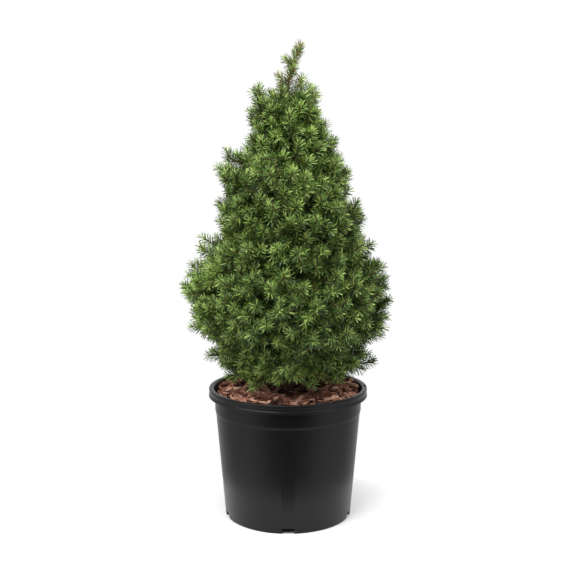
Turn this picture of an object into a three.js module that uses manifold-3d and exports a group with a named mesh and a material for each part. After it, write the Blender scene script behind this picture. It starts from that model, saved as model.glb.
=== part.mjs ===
// A dwarf Alberta spruce in a black nursery pot: the pot, its soil and bark mulch, the trunk, the main boughs,
// and the dense masses of needled shoots that make the cone of the crown.
// Millimetres, +Z up. The origin is the centre of the pot's flat underside, and the plant's front faces -Y.
import * as THREE from "three";
import { mergeVertices } from "three/addons/utils/BufferGeometryUtils.js";
import Module from "manifold-3d";

const wasm = await Module();
wasm.setup();

// ---- Driving dimensions ------------------------------------------------------------------------------------

const GAP = 0.3; // clearance between pieces that touch

const RIM_RADIUS = 120; // outside of the pot's rim
const POT_HEIGHT = 199;
const BASE_RADIUS = 97; // outside of the pot's foot
const WALL = 2;
const FLOOR = 3;
const LIP_DROP = 13; // how far the rim is turned down
const COLLAR_DROP = 35; // from the rim's top to the step where the body narrows
const POT_SIDES = 48;
const FILL_SIDES = 24; // of the soil and the mulch inside the pot
const DRAIN_COUNT = 5;
const DRAIN_WIDTH = 18;
const DRAIN_HEIGHT = 8;
const DRAIN_DEPTH = 12; // how far the slots run in under the pot

const MULCH_TOP = POT_HEIGHT - 8; // the bed that the chips lie on
const MULCH_DEPTH = 18;
const CHIP_COUNT = 36;

const TRUNK_RADIUS = 8.5; // above the root flare
const TRUNK_FLARE = 5; // added radius at the ground
const TRUNK_TIP_RADIUS = 1.6;
const TRUNK_SWAY = 3; // how far the trunk wanders from a straight line
const BOUGH_TIP_RADIUS = 1.6;
const LEADER_X = -3; // where the leader starts, left of the axis
const LEADER_FOOT = 650; // where the trunk ends and its newest shoot begins
const TREE_TOP = 713;
const LEADER_LEAN = 17; // how far the leader's tip stands to the right of its foot
const LEADER_SHOOTS = 6;

const SHOOT_LENGTH = 32; // a needled shoot, most of which stands out of its mass
const SHOOT_HEAD = 18; // the needled part
const SHOOT_STAND = 23; // how far the crown's outline lies outside the cores of the masses
const SHOOT_SPACING = 31; // between neighbouring shoots on the crown's outline
const NEEDLE_LENGTH = 13;
const STEM_RADIUS = 2.8;
const SUNK = 12; // the least volume of a shoot's heel inside its core, in cubic millimetres
const MASS_REACH = 110; // no part of a core lies further than this from the mass's centre
const BARK = 0x6b5340;
const GREENS = [0x3e5a2c, 0x4a6a34, 0x56763c, 0x44632f];

// Tiers of foliage from the ground up. height is the middle of the tier above the pot's foot, left and right are
// the reach of the tips on those sides, neck is the share by which the crown draws in above the tier, and rise is
// how steeply the shoots climb in degrees. count is the number of masses and turn is the azimuth of the first one.
// The lower tiers hang on boughs.
const TIERS = [
  { name: "skirt", height: 240, left: 122, right: 136, neck: 0.06, rise: -8, count: 5, turn: -90, boughs: true },
  { name: "low", height: 303, left: 157, right: 160, neck: 0, rise: 8, count: 5, turn: 0, boughs: true },
  { name: "broad", height: 355, left: 168, right: 158, neck: 0, rise: 18, count: 5, turn: 36, boughs: true },
  { name: "middle", height: 424, left: 142, right: 128, neck: 0, rise: 28, count: 5, turn: 0, boughs: true },
  { name: "shoulder", height: 475, left: 113, right: 119, neck: 0.06, rise: 38, count: 4, turn: 45, boughs: false },
  { name: "upper", height: 544, left: 112, right: 91, neck: 0, rise: 48, count: 4, turn: 0, boughs: false },
  { name: "crest", height: 598, left: 62, right: 66, neck: 0, rise: 64, count: 4, turn: 45, boughs: false },
];
const CROWN_FOOT = { height: 212, left: 104, right: 106, neck: 0, rise: -14 };
const CROWN_HEAD = { height: 660, left: 50, right: 40, rise: 78 };

// The hollows above three of the tiers, where the outline steps in, mostly on the left.
const LEDGES = [
  { height: 394, left: 148, right: 146, neck: 0.06, rise: 23 },
  { height: 445, left: 106, right: 114, neck: 0, rise: 32 },
  { height: 567, left: 66, right: 78, neck: 0, rise: 54 },
];

// ---- Small helpers -----------------------------------------------------------------------------------------

const UP = new THREE.Vector3(0, 0, 1);
const vec = (x, y, z) => new THREE.Vector3(x, y, z);
const { degToRad, lerp, clamp } = THREE.MathUtils;

// A repeatable source of numbers from 0 to 1.
function seeded(seed) {
  let state = seed >>> 0;
  return () => {
    state = (state + 0x6d2b79f5) >>> 0;
    let t = Math.imul(state ^ (state >>> 15), state | 1);
    t ^= t + Math.imul(t ^ (t >>> 7), t | 61);
    return ((t ^ (t >>> 14)) >>> 0) / 4294967296;
  };
}

function solidOf(geometry) {
  const bare = new THREE.BufferGeometry().setAttribute("position", geometry.getAttribute("position"));
  if (geometry.index) bare.setIndex(geometry.index);
  const merged = mergeVertices(bare.index ? bare.toNonIndexed() : bare, 1e-4);
  return new wasm.Manifold(
    new wasm.Mesh({
      numProp: 3,
      vertProperties: merged.attributes.position.array,
      triVerts: new Uint32Array(merged.index.array),
    }),
  );
}

// Joins the solids, fills any hollow that this seals and drops any loose scrap.
function fused(solids) {
  const pieces = wasm.Manifold.union(solids).decompose();
  return pieces.reduce((largest, piece) => (piece.volume() > largest.volume() ? piece : largest));
}

function geometryOf(solid) {
  const mesh = solid.getMesh();
  return new THREE.BufferGeometry()
    .setAttribute("position", new THREE.BufferAttribute(new Float32Array(mesh.vertProperties), 3))
    .setIndex(new THREE.BufferAttribute(new Uint32Array(mesh.triVerts), 1));
}

// A closed solid of revolution about Z, from a closed or axis-to-axis outline of [radius, height] points.
function turned(outline, sides) {
  const points = outline.map(([radius, height]) => new THREE.Vector2(radius, height));
  return solidOf(new THREE.LatheGeometry(points, sides).rotateX(Math.PI / 2));
}

// A tapering limb: a capped cylinder bent along the curve, with its radius set by share u of the length.
function limb(curve, radiusAt, sides, steps) {
  const chord = curve.getPoint(1).sub(curve.getPoint(0)).normalize();
  const reference = Math.abs(chord.z) > 0.8 ? vec(1, 0, 0) : UP;
  const geometry = new THREE.CylinderGeometry(1, 1, 1, sides, steps);
  const place = geometry.getAttribute("position");
  for (let i = 0; i < place.count; i++) {
    const u = clamp(place.getY(i) + 0.5, 0, 1);
    const point = curve.getPoint(u);
    const along = curve.getTangent(u);
    const side = reference.clone().addScaledVector(along, -reference.dot(along)).normalize();
    const cross = along.clone().cross(side);
    const radius = radiusAt(u);
    point.addScaledVector(side, place.getZ(i) * radius).addScaledVector(cross, place.getX(i) * radius);
    place.setXYZ(i, point.x, point.y, point.z);
  }
  return solidOf(geometry);
}

const root = new THREE.Group();

function addNode(name, geometry, color, roughness) {
  const mesh = new THREE.Mesh(geometry, new THREE.MeshStandardMaterial({ color, roughness, metalness: 0 }));
  mesh.name = name;
  root.add(mesh);
}

// ---- Pot, soil and mulch -----------------------------------------------------------------------------------

const COLLAR_Z = POT_HEIGHT - COLLAR_DROP;
const COLLAR_RADIUS = RIM_RADIUS - 8;
const BODY_TOP_RADIUS = COLLAR_RADIUS - 1.4;

// Radius of the pot's outer wall, and of its inner one, at a height.
function wallRadius(z) {
  if (z >= COLLAR_Z) return COLLAR_RADIUS;
  return lerp(BASE_RADIUS, BODY_TOP_RADIUS, z / COLLAR_Z);
}
const innerRadius = (z) => wallRadius(z) - WALL;

function pot() {
  const lipFoot = POT_HEIGHT - LIP_DROP;
  const outline = [
    [0, 0],
    [BASE_RADIUS - 1.5, 0],
    [BASE_RADIUS, 1.5],
    [BODY_TOP_RADIUS, COLLAR_Z - 4],
    [COLLAR_RADIUS, COLLAR_Z],
    [COLLAR_RADIUS, lipFoot - 2],
    [RIM_RADIUS - 4.5, POT_HEIGHT - 3.5],
    [RIM_RADIUS - 0.5, lipFoot],
    [RIM_RADIUS + 1.5, lipFoot],
    [RIM_RADIUS + 1.5, lipFoot + 2.5],
    [RIM_RADIUS, lipFoot + 5],
    [RIM_RADIUS, POT_HEIGHT - 4],
    [RIM_RADIUS - 1.2, POT_HEIGHT - 1],
    [RIM_RADIUS - 3, POT_HEIGHT],
    [RIM_RADIUS - 5, POT_HEIGHT],
    [RIM_RADIUS - 6.5, POT_HEIGHT - 1.5],
    [COLLAR_RADIUS - WALL, lipFoot - 2],
    [COLLAR_RADIUS - WALL, COLLAR_Z],
    [BODY_TOP_RADIUS - WALL, COLLAR_Z - 4],
    [innerRadius(FLOOR), FLOOR],
    [0, FLOOR],
  ];
  const drain = new THREE.BoxGeometry(2 * DRAIN_DEPTH, DRAIN_WIDTH, 2 * DRAIN_HEIGHT);
  const drains = Array.from({ length: DRAIN_COUNT }, (_, i) => {
    const turn = degToRad(-90 + (360 * i) / DRAIN_COUNT);
    return solidOf(drain.clone().translate(BASE_RADIUS, 0, 0).rotateZ(turn));
  });
  return turned(outline, POT_SIDES).subtract(wasm.Manifold.union(drains));
}

// The soil fills the pot up to the mulch, and its foot is drawn in behind the drain slots.
function soil() {
  const top = MULCH_TOP - MULCH_DEPTH - GAP;
  const inset = GAP + 0.2;
  const slotRadius = BASE_RADIUS - DRAIN_DEPTH - 1;
  return turned(
    [
      [0, FLOOR + GAP],
      [slotRadius, FLOOR + GAP],
      [slotRadius, DRAIN_HEIGHT + 1],
      [innerRadius(DRAIN_HEIGHT + 1) - inset, DRAIN_HEIGHT + 1],
      [BODY_TOP_RADIUS - WALL - inset, COLLAR_Z - 4],
      [innerRadius(COLLAR_Z) - inset, COLLAR_Z],
      [innerRadius(top) - inset, top],
      [0, top],
    ],
    FILL_SIDES,
  );
}

// One bark chip: a flat splinter with an uneven outline, lying at a slant.
function chip(random) {
  const length = lerp(16, 34, random());
  const width = lerp(7, 14, random());
  const outline = new THREE.Shape([
    new THREE.Vector2(-length / 2, -width * 0.2),
    new THREE.Vector2(length / 2, -width * lerp(0.1, 0.4, random())),
    new THREE.Vector2(length * lerp(0.25, 0.45, random()), width / 2),
    new THREE.Vector2(-length * 0.35, width * lerp(0.25, 0.5, random())),
  ]);
  return new THREE.ExtrudeGeometry(outline, { depth: lerp(3, 5, random()), bevelEnabled: false })
    .rotateX(lerp(-0.35, 0.35, random()))
    .rotateY(lerp(-0.22, 0.22, random()))
    .rotateZ(2 * Math.PI * random());
}

// A bed of bark with chips spread over it on a sunflower spiral, clear of the trunk's foot.
function mulch() {
  const random = seeded(11);
  const edge = innerRadius(MULCH_TOP) - GAP - 0.2;
  const bed = turned(
    [
      [0, MULCH_TOP - MULCH_DEPTH],
      [edge, MULCH_TOP - MULCH_DEPTH],
      [edge, MULCH_TOP - 2],
      [edge - 3, MULCH_TOP],
      [0, MULCH_TOP],
    ],
    FILL_SIDES,
  );
  const inner = TRUNK_RADIUS + TRUNK_FLARE + 20;
  const outer = edge - 17;
  const chips = Array.from({ length: CHIP_COUNT }, (_, i) => {
    const radius = Math.sqrt(lerp(inner ** 2, outer ** 2, (i + 0.5) / CHIP_COUNT));
    const azimuth = degToRad(137.5 * i);
    const lift = MULCH_TOP + lerp(-3, 0, random());
    return solidOf(
      chip(random).translate(radius * Math.cos(azimuth), radius * Math.sin(azimuth), lift),
    );
  });
  return fused([bed, ...chips]);
}

// ---- Trunk and boughs --------------------------------------------------------------------------------------

const TRUNK_FOOT = MULCH_TOP + GAP;
const TRUNK_LENGTH = LEADER_FOOT - TRUNK_FOOT;

const trunkCurve = new THREE.CatmullRomCurve3(
  [
    [0, 0, 0],
    [0, 0, 0.06],
    [TRUNK_SWAY, -TRUNK_SWAY / 2, 0.35],
    [-TRUNK_SWAY / 3, TRUNK_SWAY / 2, 0.7],
    [LEADER_X, 0, 1],
  ].map(([x, y, share]) => vec(x, y, TRUNK_FOOT + share * TRUNK_LENGTH)),
);

const trunkRadius = (u) => lerp(TRUNK_RADIUS, TRUNK_TIP_RADIUS, u) + TRUNK_FLARE * Math.exp(-u / 0.02);
const trunkWith = (extra) => limb(trunkCurve, (u) => trunkRadius(u) + extra, 8, 14);
const trunkRoom = trunkWith(GAP);

// The share of the trunk's length at a height.
function trunkShare(z) {
  let low = 0;
  let high = 1;
  for (let i = 0; i < 24; i++) {
    const middle = (low + high) / 2;
    if (trunkCurve.getPoint(middle).z < z) low = middle;
    else high = middle;
  }
  return low;
}

// A bough leaves the trunk below its mass, climbs towards it and ends where it enters the mass.
function boughOf(mass) {
  const tip = mass.outward.clone().multiplyScalar(mass.inner - 3).setZ(mass.center.z - 5);
  const distance = Math.hypot(tip.x, tip.y);
  const climb = clamp(mass.tier.rise + 22, 6, 50);
  const share = trunkShare(tip.z - distance * Math.tan(degToRad(climb)) + 4 * Math.sin(5 * mass.serial));
  const start = trunkCurve.getPoint(share);
  const bend = start.clone().lerp(tip, 0.55);
  bend.z -= 0.06 * distance;
  const curve = new THREE.QuadraticBezierCurve3(start, bend, tip);
  const foot = 0.42 * trunkRadius(share);
  return { curve, radiusAt: (u) => lerp(foot, BOUGH_TIP_RADIUS, u) };
}

// ---- Masses of foliage -------------------------------------------------------------------------------------

// How far the tips of the crown reach at a height and azimuth, and how steeply its shoots climb there.
const OUTLINE = [CROWN_FOOT, ...TIERS, ...LEDGES, CROWN_HEAD].sort((a, b) => a.height - b.height);
function crownAt(height, azimuth) {
  const next = OUTLINE.findIndex((row, i) => i > 0 && (row.height > height || i === OUTLINE.length - 1));
  const [low, high] = [OUTLINE[next - 1], OUTLINE[next]];
  const share = clamp((height - low.height) / (high.height - low.height), 0, 1);
  const side = (1 + Math.cos(azimuth)) / 2;
  const reach = lerp(lerp(low.left, low.right, side), lerp(high.left, high.right, side), share);
  return {
    reach: reach * (1 - low.neck * Math.sin(Math.PI * share) ** 2),
    rise: degToRad(lerp(low.rise, high.rise, share)),
  };
}

// The masses of every tier: center is the middle of a mass's space, and inner is how far from the trunk it starts.
const masses = [];
for (const tier of TIERS) {
  const distance = 0.27 * (tier.left + tier.right);
  for (let k = 0; k < tier.count; k++) {
    const serial = masses.length;
    const azimuth = degToRad(tier.turn + (360 * k) / tier.count + 6 * Math.sin(3.1 * serial));
    const outward = vec(Math.cos(azimuth), Math.sin(azimuth), 0);
    masses.push({
      name: `${tier.name}_${k + 1}`,
      tier,
      serial,
      outward,
      inner: tier.boughs ? 0.5 * distance : 0,
      center: outward.clone().multiplyScalar(distance).setZ(tier.height + 6 * Math.sin(4.3 * serial)),
    });
  }
}

const leader = {
  serial: masses.length,
  outward: vec(1, 0, 0),
  inner: -Infinity,
  center: vec(LEADER_X - 4, 0, TREE_TOP),
};
const spaces = [...masses, leader];

const limbs = [{ curve: trunkCurve, radiusAt: trunkRadius }];
for (const mass of masses) {
  if (!mass.tier.boughs) continue;
  mass.bough = boughOf(mass);
  limbs.push(mass.bough);
}
for (const one of limbs) {
  const points = one.curve.getPoints(16);
  one.lengths = points.slice(1).map((point, i) => new THREE.Line3(points[i], point));
}

// True where a point keeps to the mass's own space: nearer to its centre than to any other mass's, clear of the
// trunk and boughs by `room`, and above the pot's rim and the mulch.
function isFree(point, mass, room) {
  for (const { center } of spaces) {
    if (center === mass.center) continue;
    const span = 2 * center.distanceTo(mass.center);
    if (point.distanceToSquared(center) - point.distanceToSquared(mass.center) < GAP * span) return false;
  }
  const nearest = vec(0, 0, 0);
  for (const { lengths, radiusAt } of limbs) {
    for (let i = 0; i < lengths.length; i++) {
      lengths[i].closestPointToPoint(point, true, nearest);
      if (point.distanceTo(nearest) < radiusAt(i / lengths.length) + room) return false;
    }
  }
  if (point.dot(mass.outward) < mass.inner) return false;
  const overPot = Math.hypot(point.x, point.y) < RIM_RADIUS + 4;
  return point.z > (overPot ? POT_HEIGHT + 2 : POT_HEIGHT - 25);
}

// True where a shoot on this point would still end inside the crown's outline.
function isDeep(point, stand) {
  const azimuth = Math.atan2(point.y, point.x);
  const { rise } = crownAt(point.z, azimuth);
  const tipHeight = point.z + stand * Math.sin(rise);
  const tipReach = Math.hypot(point.x, point.y) + stand * Math.cos(rise);
  return tipHeight < CROWN_HEAD.height && tipReach < crownAt(tipHeight, azimuth).reach;
}

// The core: a lumpy ball that fills the mass's space up to the feet of its shoots.
function core(mass) {
  const geometry = new THREE.IcosahedronGeometry(1, 1);
  const place = geometry.getAttribute("position");
  for (let i = 0; i < place.count; i++) {
    const arm = vec(place.getX(i), place.getY(i), place.getZ(i));
    const stand = SHOOT_STAND + 3 * Math.sin(5 * arm.x + 7 * arm.y + 3 * arm.z + mass.serial);
    let length = MASS_REACH;
    const end = () => mass.center.clone().addScaledVector(arm, length);
    while (length > 4 && !(isFree(end(), mass, 2) && isDeep(end(), stand))) length -= 1.5;
    const { x, y, z } = end();
    place.setXYZ(i, x, y, z);
  }
  return geometry;
}

// A needled shoot: a slim three-sided spindle that grows from a point at its foot and ends in a needle. Its bare
// heel is sunk in what carries it, and most faces of the head above are each drawn out to a needle.
function shoot(mass, tip, direction, head, length, random) {
  const needle = NEEDLE_LENGTH * lerp(0.9, 1.1, random());
  const spin = 2 * Math.PI * random();
  const reference = Math.abs(direction.z) > 0.8 ? vec(1, 0, 0) : UP;
  const side = reference.clone().cross(direction).normalize();
  const cross = direction.clone().cross(side);
  const ring = (below, turn) =>
    [0, 1, 2].map((j) => {
      const angle = spin + turn + (2 * Math.PI * j) / 3;
      return tip
        .clone()
        .addScaledVector(direction, -below)
        .addScaledVector(side, STEM_RADIUS * Math.cos(angle))
        .addScaledVector(cross, STEM_RADIUS * Math.sin(angle));
    });
  const foot = tip.clone().addScaledVector(direction, -length);
  const low = ring(head, 0);
  const high = ring(0.55 * head, Math.PI / 3);
  if (![tip, ...low, ...high].every((point) => isFree(point, mass, STEM_RADIUS))) return null;
  if (!isFree(foot, mass, GAP)) return null;

  const triangles = [];
  const drawOut = (a, b, c, lean) => {
    const middle = a.clone().add(b).add(c).divideScalar(3);
    const point = b.clone().sub(a).cross(c.clone().sub(a)).normalize();
    point.multiplyScalar(Math.cos(lean)).addScaledVector(direction, Math.sin(lean));
    const end = [1, 0.75, 0.5]
      .map((size) => middle.clone().addScaledVector(point, needle * size))
      .find((place) => isFree(place, mass, 0.6));
    if (end) triangles.push(a, b, end, b, c, end, c, a, end);
    else triangles.push(a, b, c);
  };
  for (let j = 0; j < 3; j++) {
    const next = (j + 1) % 3;
    triangles.push(foot, low[next], low[j], low[j], low[next], high[j]);
    drawOut(high[j], low[next], high[next], degToRad(35));
    drawOut(high[j], high[next], tip, degToRad(20));
  }
  return solidOf(new THREE.BufferGeometry().setFromPoints(triangles));
}

// The places of the shoots' tips: a spiral up the crown's outline with even spacing, each in the space of the mass
// whose centre is nearest.
for (const mass of masses) mass.tips = [];
let turnCount = 0;
for (let height = CROWN_FOOT.height + 6; height < CROWN_HEAD.height; turnCount++) {
  const azimuth = degToRad(137.508 * turnCount);
  const { reach } = crownAt(height, azimuth);
  const tip = vec(reach * Math.cos(azimuth), reach * Math.sin(azimuth), height);
  const nearest = masses.reduce((best, mass) =>
    tip.distanceTo(mass.center) < tip.distanceTo(best.center) ? mass : best,
  );
  nearest.tips.push(tip);
  height += SHOOT_SPACING ** 2 / (2 * Math.PI * reach);
}

// The shoots of a mass end the twigs that branch off its stem inside the core. Each climbs as its tier does and
// leans the way its twig left the stem.
function shootsOf(mass, coreSolid) {
  const random = seeded(101 + mass.serial);
  const found = [];
  for (const tip of mass.tips) {
    const azimuth = Math.atan2(tip.y, tip.x);
    const { rise } = crownAt(tip.z, azimuth);
    const climb = vec(Math.cos(azimuth) * Math.cos(rise), Math.sin(azimuth) * Math.cos(rise), Math.sin(rise));
    const twig = tip.clone().sub(mass.center).normalize();
    const jitter = vec(random() - 0.5, random() - 0.5, random() - 0.5);
    const direction = climb.addScaledVector(twig, 0.5).addScaledVector(jitter, 0.4).normalize();
    const drawn = lerp(0, 6, random() ** 2);
    tip.addScaledVector(direction, -drawn);
    const seed = random();
    for (const length of [1, 1.2, 1.4, 1.6].map((size) => size * SHOOT_LENGTH)) {
      const made = shoot(mass, tip, direction, SHOOT_HEAD - drawn, length, seeded(1e6 * seed));
      if (!made) break;
      if (coreSolid.intersect(made).volume() < SUNK) continue;
      found.push(made);
      break;
    }
  }
  return found;
}

// The stem that carries the mass, from its bough's tip or from the trunk into the core.
function stemOf(mass) {
  if (mass.bough) {
    const away = mass.bough.curve.getTangent(1);
    const start = mass.bough.curve.getPoint(1).addScaledVector(away, GAP);
    const curve = new THREE.QuadraticBezierCurve3(start, start.clone().addScaledVector(away, 4), mass.center);
    return limb(curve, () => BOUGH_TIP_RADIUS, 3, 2);
  }
  const start = trunkCurve.getPoint(trunkShare(mass.center.z - 0.4 * Math.hypot(mass.center.x, mass.center.y)));
  return limb(new THREE.LineCurve3(start, mass.center), () => BOUGH_TIP_RADIUS, 3, 1);
}

function foliage(mass) {
  const body = solidOf(core(mass)).subtract(trunkRoom);
  return fused([body, stemOf(mass).subtract(trunkRoom), ...shootsOf(mass, body)]);
}

// The leader: the trunk's newest shoot, leaning to the right, with short shoots up its stem.
function leaderShoot() {
  const random = seeded(7);
  const foot = vec(LEADER_X, 0, LEADER_FOOT + GAP);
  const tip = vec(LEADER_X + LEADER_LEAN, -2, TREE_TOP);
  const line = new THREE.QuadraticBezierCurve3(foot, foot.clone().setZ(lerp(LEADER_FOOT, TREE_TOP, 0.4)), tip);
  const stem = limb(line, (u) => lerp(TRUNK_TIP_RADIUS, 0.8, u), 3, 4);
  const shoots = [shoot(leader, tip, line.getTangent(1), SHOOT_HEAD, SHOOT_LENGTH, random)];
  for (let i = 0; i < LEADER_SHOOTS; i++) {
    const azimuth = degToRad(170 + 137.5 * i);
    const direction = vec(Math.cos(azimuth), Math.sin(azimuth), 1).normalize();
    const start = line.getPoint((i + 0.3) / (LEADER_SHOOTS + 3));
    shoots.push(shoot(leader, start.addScaledVector(direction, 24), direction, SHOOT_HEAD, 24.6, random));
  }
  return fused([stem, ...shoots.filter(Boolean)]);
}

// ---- Assembly ----------------------------------------------------------------------------------------------

addNode("pot", geometryOf(pot()), 0x1c1c1d, 0.42);
addNode("potting_soil", geometryOf(soil()), 0x2a1d15, 0.95);
addNode("bark_mulch", geometryOf(mulch()), 0x5a3626, 0.9);
addNode("trunk", geometryOf(trunkWith(0)), BARK, 0.9);
for (const mass of masses) {
  if (mass.bough) {
    const bough = limb(mass.bough.curve, mass.bough.radiusAt, 5, 2).subtract(trunkRoom);
    addNode(`bough_${mass.name}`, geometryOf(bough), BARK, 0.9);
  }
  addNode(`foliage_${mass.name}`, geometryOf(foliage(mass)), GREENS[mass.serial % GREENS.length], 0.6);
}
addNode("foliage_leader", geometryOf(leaderShoot()), 0x5c7a3c, 0.6);

export default root;
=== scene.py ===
"""The looks of a dwarf Alberta spruce in a black nursery pot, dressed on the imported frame.

The boughs, twigs and needles grow by the rule that the solids follow, carried on to finer shoots. Lengths are
in metres, with +Z up and the plant's front towards -Y.
"""

import math
from typing import NamedTuple

import bpy
import numpy as np
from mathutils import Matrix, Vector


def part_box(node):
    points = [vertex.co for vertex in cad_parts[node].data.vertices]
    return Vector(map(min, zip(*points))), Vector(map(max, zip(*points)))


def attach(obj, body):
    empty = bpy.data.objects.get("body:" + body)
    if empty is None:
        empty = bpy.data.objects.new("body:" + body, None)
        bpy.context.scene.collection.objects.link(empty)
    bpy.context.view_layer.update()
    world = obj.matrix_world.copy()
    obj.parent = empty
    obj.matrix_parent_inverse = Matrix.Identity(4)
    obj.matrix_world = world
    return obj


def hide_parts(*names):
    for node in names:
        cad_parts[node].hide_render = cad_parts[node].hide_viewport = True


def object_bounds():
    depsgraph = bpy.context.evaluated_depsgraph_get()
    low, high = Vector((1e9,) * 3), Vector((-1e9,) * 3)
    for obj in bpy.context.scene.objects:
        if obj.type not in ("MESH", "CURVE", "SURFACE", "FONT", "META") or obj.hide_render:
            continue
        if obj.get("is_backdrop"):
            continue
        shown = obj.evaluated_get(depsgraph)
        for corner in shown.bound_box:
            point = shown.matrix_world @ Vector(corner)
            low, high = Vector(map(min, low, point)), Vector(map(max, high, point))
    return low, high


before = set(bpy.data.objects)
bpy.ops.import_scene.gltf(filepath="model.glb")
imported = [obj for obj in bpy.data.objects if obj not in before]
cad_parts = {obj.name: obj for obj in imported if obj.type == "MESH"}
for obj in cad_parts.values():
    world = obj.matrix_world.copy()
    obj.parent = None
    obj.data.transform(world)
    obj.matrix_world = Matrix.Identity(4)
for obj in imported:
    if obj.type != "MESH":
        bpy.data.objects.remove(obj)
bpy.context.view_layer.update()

# ---- Driving sizes -----------------------------------------------------------

POT_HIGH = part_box("pot")[1]
TRUNK_LOW, TRUNK_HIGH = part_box("trunk")
MULCH_LOW, MULCH_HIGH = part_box("bark_mulch")
CROWN_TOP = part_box("foliage_leader")[1].z

POT_HEIGHT = POT_HIGH.z
FLANGE = 0.0015  # the thin edge at the foot of the turned-down rim
RIM_RADIUS = POT_HIGH.x - FLANGE
BASE_RADIUS = 0.097  # outside of the pot's foot
WALL = 0.002
BOTTOM = 0.003  # thickness of the pot's bottom
EDGE_ROUNDING = 0.0022
LIP_DROP = 0.013  # how far the rim is turned down
COLLAR_DROP = 0.035  # from the rim's top to the step where the body narrows
COLLAR_RADIUS = RIM_RADIUS - 0.008
BODY_TOP_RADIUS = COLLAR_RADIUS - 0.0014
POT_SIDES = 240
DRAIN_COUNT = 5
DRAIN_WIDTH = 0.018
DRAIN_HEIGHT = 0.008
DRAIN_DEPTH = 0.012  # how far the slots run in under the pot
TAG_HOLE_SIZE = (0.0030, 0.0110)  # across the rim and along it
TAG_HOLE_INSET = 0.0018  # of its middle from the rim's radius
TAG_HOLE_TURN = 0  # degrees from +X towards the back

MULCH_TOP = POT_HEIGHT - 0.008
MULCH_RADIUS = MULCH_HIGH.x
BED_TOP = MULCH_TOP - 0.002  # of the flat bed that the chips are dropped on
CHIP_COUNT = 820
CHIP_SINK = 0.0018  # how deep a chip sinks into what it lands on
CHIP_CEILING = POT_HEIGHT + 0.003  # no chip is dropped to stand higher
HEAP_PITCH = 0.0025  # of the grid that keeps the heap's heights
CHIP_NEAREST = 0.012  # no chip's middle is nearer to the trunk's axis

TRUNK_RADIUS = 0.0085  # above the root flare
TRUNK_FLARE = 0.005  # added radius at the ground
FLARE_FADE = 0.02  # the share of the trunk's height in which the flare drops to about a third
TRUNK_TIP_RADIUS = 0.0016
TRUNK_SWAY = 0.003  # how far the trunk wanders from a straight line
BOUGH_TIP_RADIUS = 0.0016
BARK_RELIEF = 0.00022  # height of each of the waves that make up the trunk's bark
LEADER_X = -0.003  # where the trunk ends, left of the axis
LEADER_LEAN = 0.021  # how far the leader's tip stands to the right of the trunk's
LEADER_LENGTH = 0.125  # of the part of the stem that bears needles

SPRAY_SPACING = 0.031  # between the sprays that end the branches, as the shoots of the solids stand
GOLDEN_TURN = math.radians(137.508)
SPIRAL_START = math.radians(240)  # where the lowest spray stands, from +X towards the back
LUMP_SPACING = 0.060  # between the middles of the lumps that the sprays gather in
LUMP_RELIEF = 0.013  # how far back the tips are drawn halfway between two lumps
LUMP_SHIFT = 0.008  # how much deeper some lumps lie than others
HEAD_DIP = 0.030  # how far the crown's head sinks towards the leader

STEM_RADII = (0.0028, 0.0011)  # of a mass's main stem, at its foot and tip
BRANCH_RADII = (0.0017, 0.0010)
SHOOT_RADII = (0.0010, 0.0007)
THICK_TWIG = 0.0012  # twigs with a thicker foot than this are drawn with more faces
CLOTHED_BRANCH = 0.095  # the length at a branch's end that bears needles
CLOTHED_SHOOT = 0.060
BUD_SHARES = (0.5, 0.3, 0.0)  # of the twigs that end in a bud, by their age in years

NEEDLE_LENGTH = 0.0134
NEEDLE_WIDTH = 0.00150
NEEDLES_PER_METRE = 2300
NEEDLE_LEANS = (60, 26)  # degrees from the twig's way, along the twig and round its tip
CLOSING_LENGTH = 0.003  # at a twig's tip, where its needles close in
BLADE_CORNERS = (0.20, 0.80)  # shares of a needle's length
SEED = 25


class Tier(NamedTuple):
    """A tier of foliage, as in the solids. Angles are in degrees."""

    name: str
    height: float
    left: float  # how far it reaches to the left, and to the right
    right: float
    neck: float  # how much the crown draws in between this tier and the next, as a share
    rise: float  # how steeply its outer shoots climb
    count: int = 0  # its masses
    turn: float = 0.0  # where the first of them stands, from +X towards the back
    boughs: bool = False  # whether boughs carry them, rather than the trunk


TIERS = (
    Tier("skirt", 0.240, 0.122, 0.136, 0.06, -8, 5, -90, True),
    Tier("low", 0.303, 0.157, 0.160, 0.0, 8, 5, 0, True),
    Tier("broad", 0.355, 0.168, 0.158, 0.0, 18, 5, 36, True),
    Tier("middle", 0.424, 0.142, 0.128, 0.0, 28, 5, 0, True),
    Tier("shoulder", 0.475, 0.113, 0.119, 0.06, 38, 4, 45),
    Tier("upper", 0.544, 0.112, 0.091, 0.0, 48, 4, 0),
    Tier("crest", 0.598, 0.062, 0.066, 0.0, 64, 4, 45),
)
CROWN_FOOT = Tier("foot", 0.212, 0.104, 0.106, 0.0, -14)
CROWN_HEAD = Tier("head", 0.660, 0.050, 0.040, 0.0, 78)
LEDGES = (
    Tier("ledge_broad", 0.394, 0.148, 0.146, 0.06, 23),
    Tier("ledge_middle", 0.445, 0.106, 0.114, 0.0, 32),
    Tier("ledge_upper", 0.567, 0.066, 0.078, 0.0, 54),
)
OUTLINE = sorted((CROWN_FOOT, *TIERS, *LEDGES, CROWN_HEAD), key=lambda tier: tier.height)
OUTLINE_COLUMNS = np.array([(tier.height, tier.left, tier.right, tier.neck, tier.rise) for tier in OUTLINE]).T


class Stray(NamedTuple):
    """A shoot that stands out of the crown at its side, or fills a gap in its front: where it ends, and how
    steeply it climbs there in degrees."""

    x: float
    y: float
    z: float
    climb: float


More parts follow.
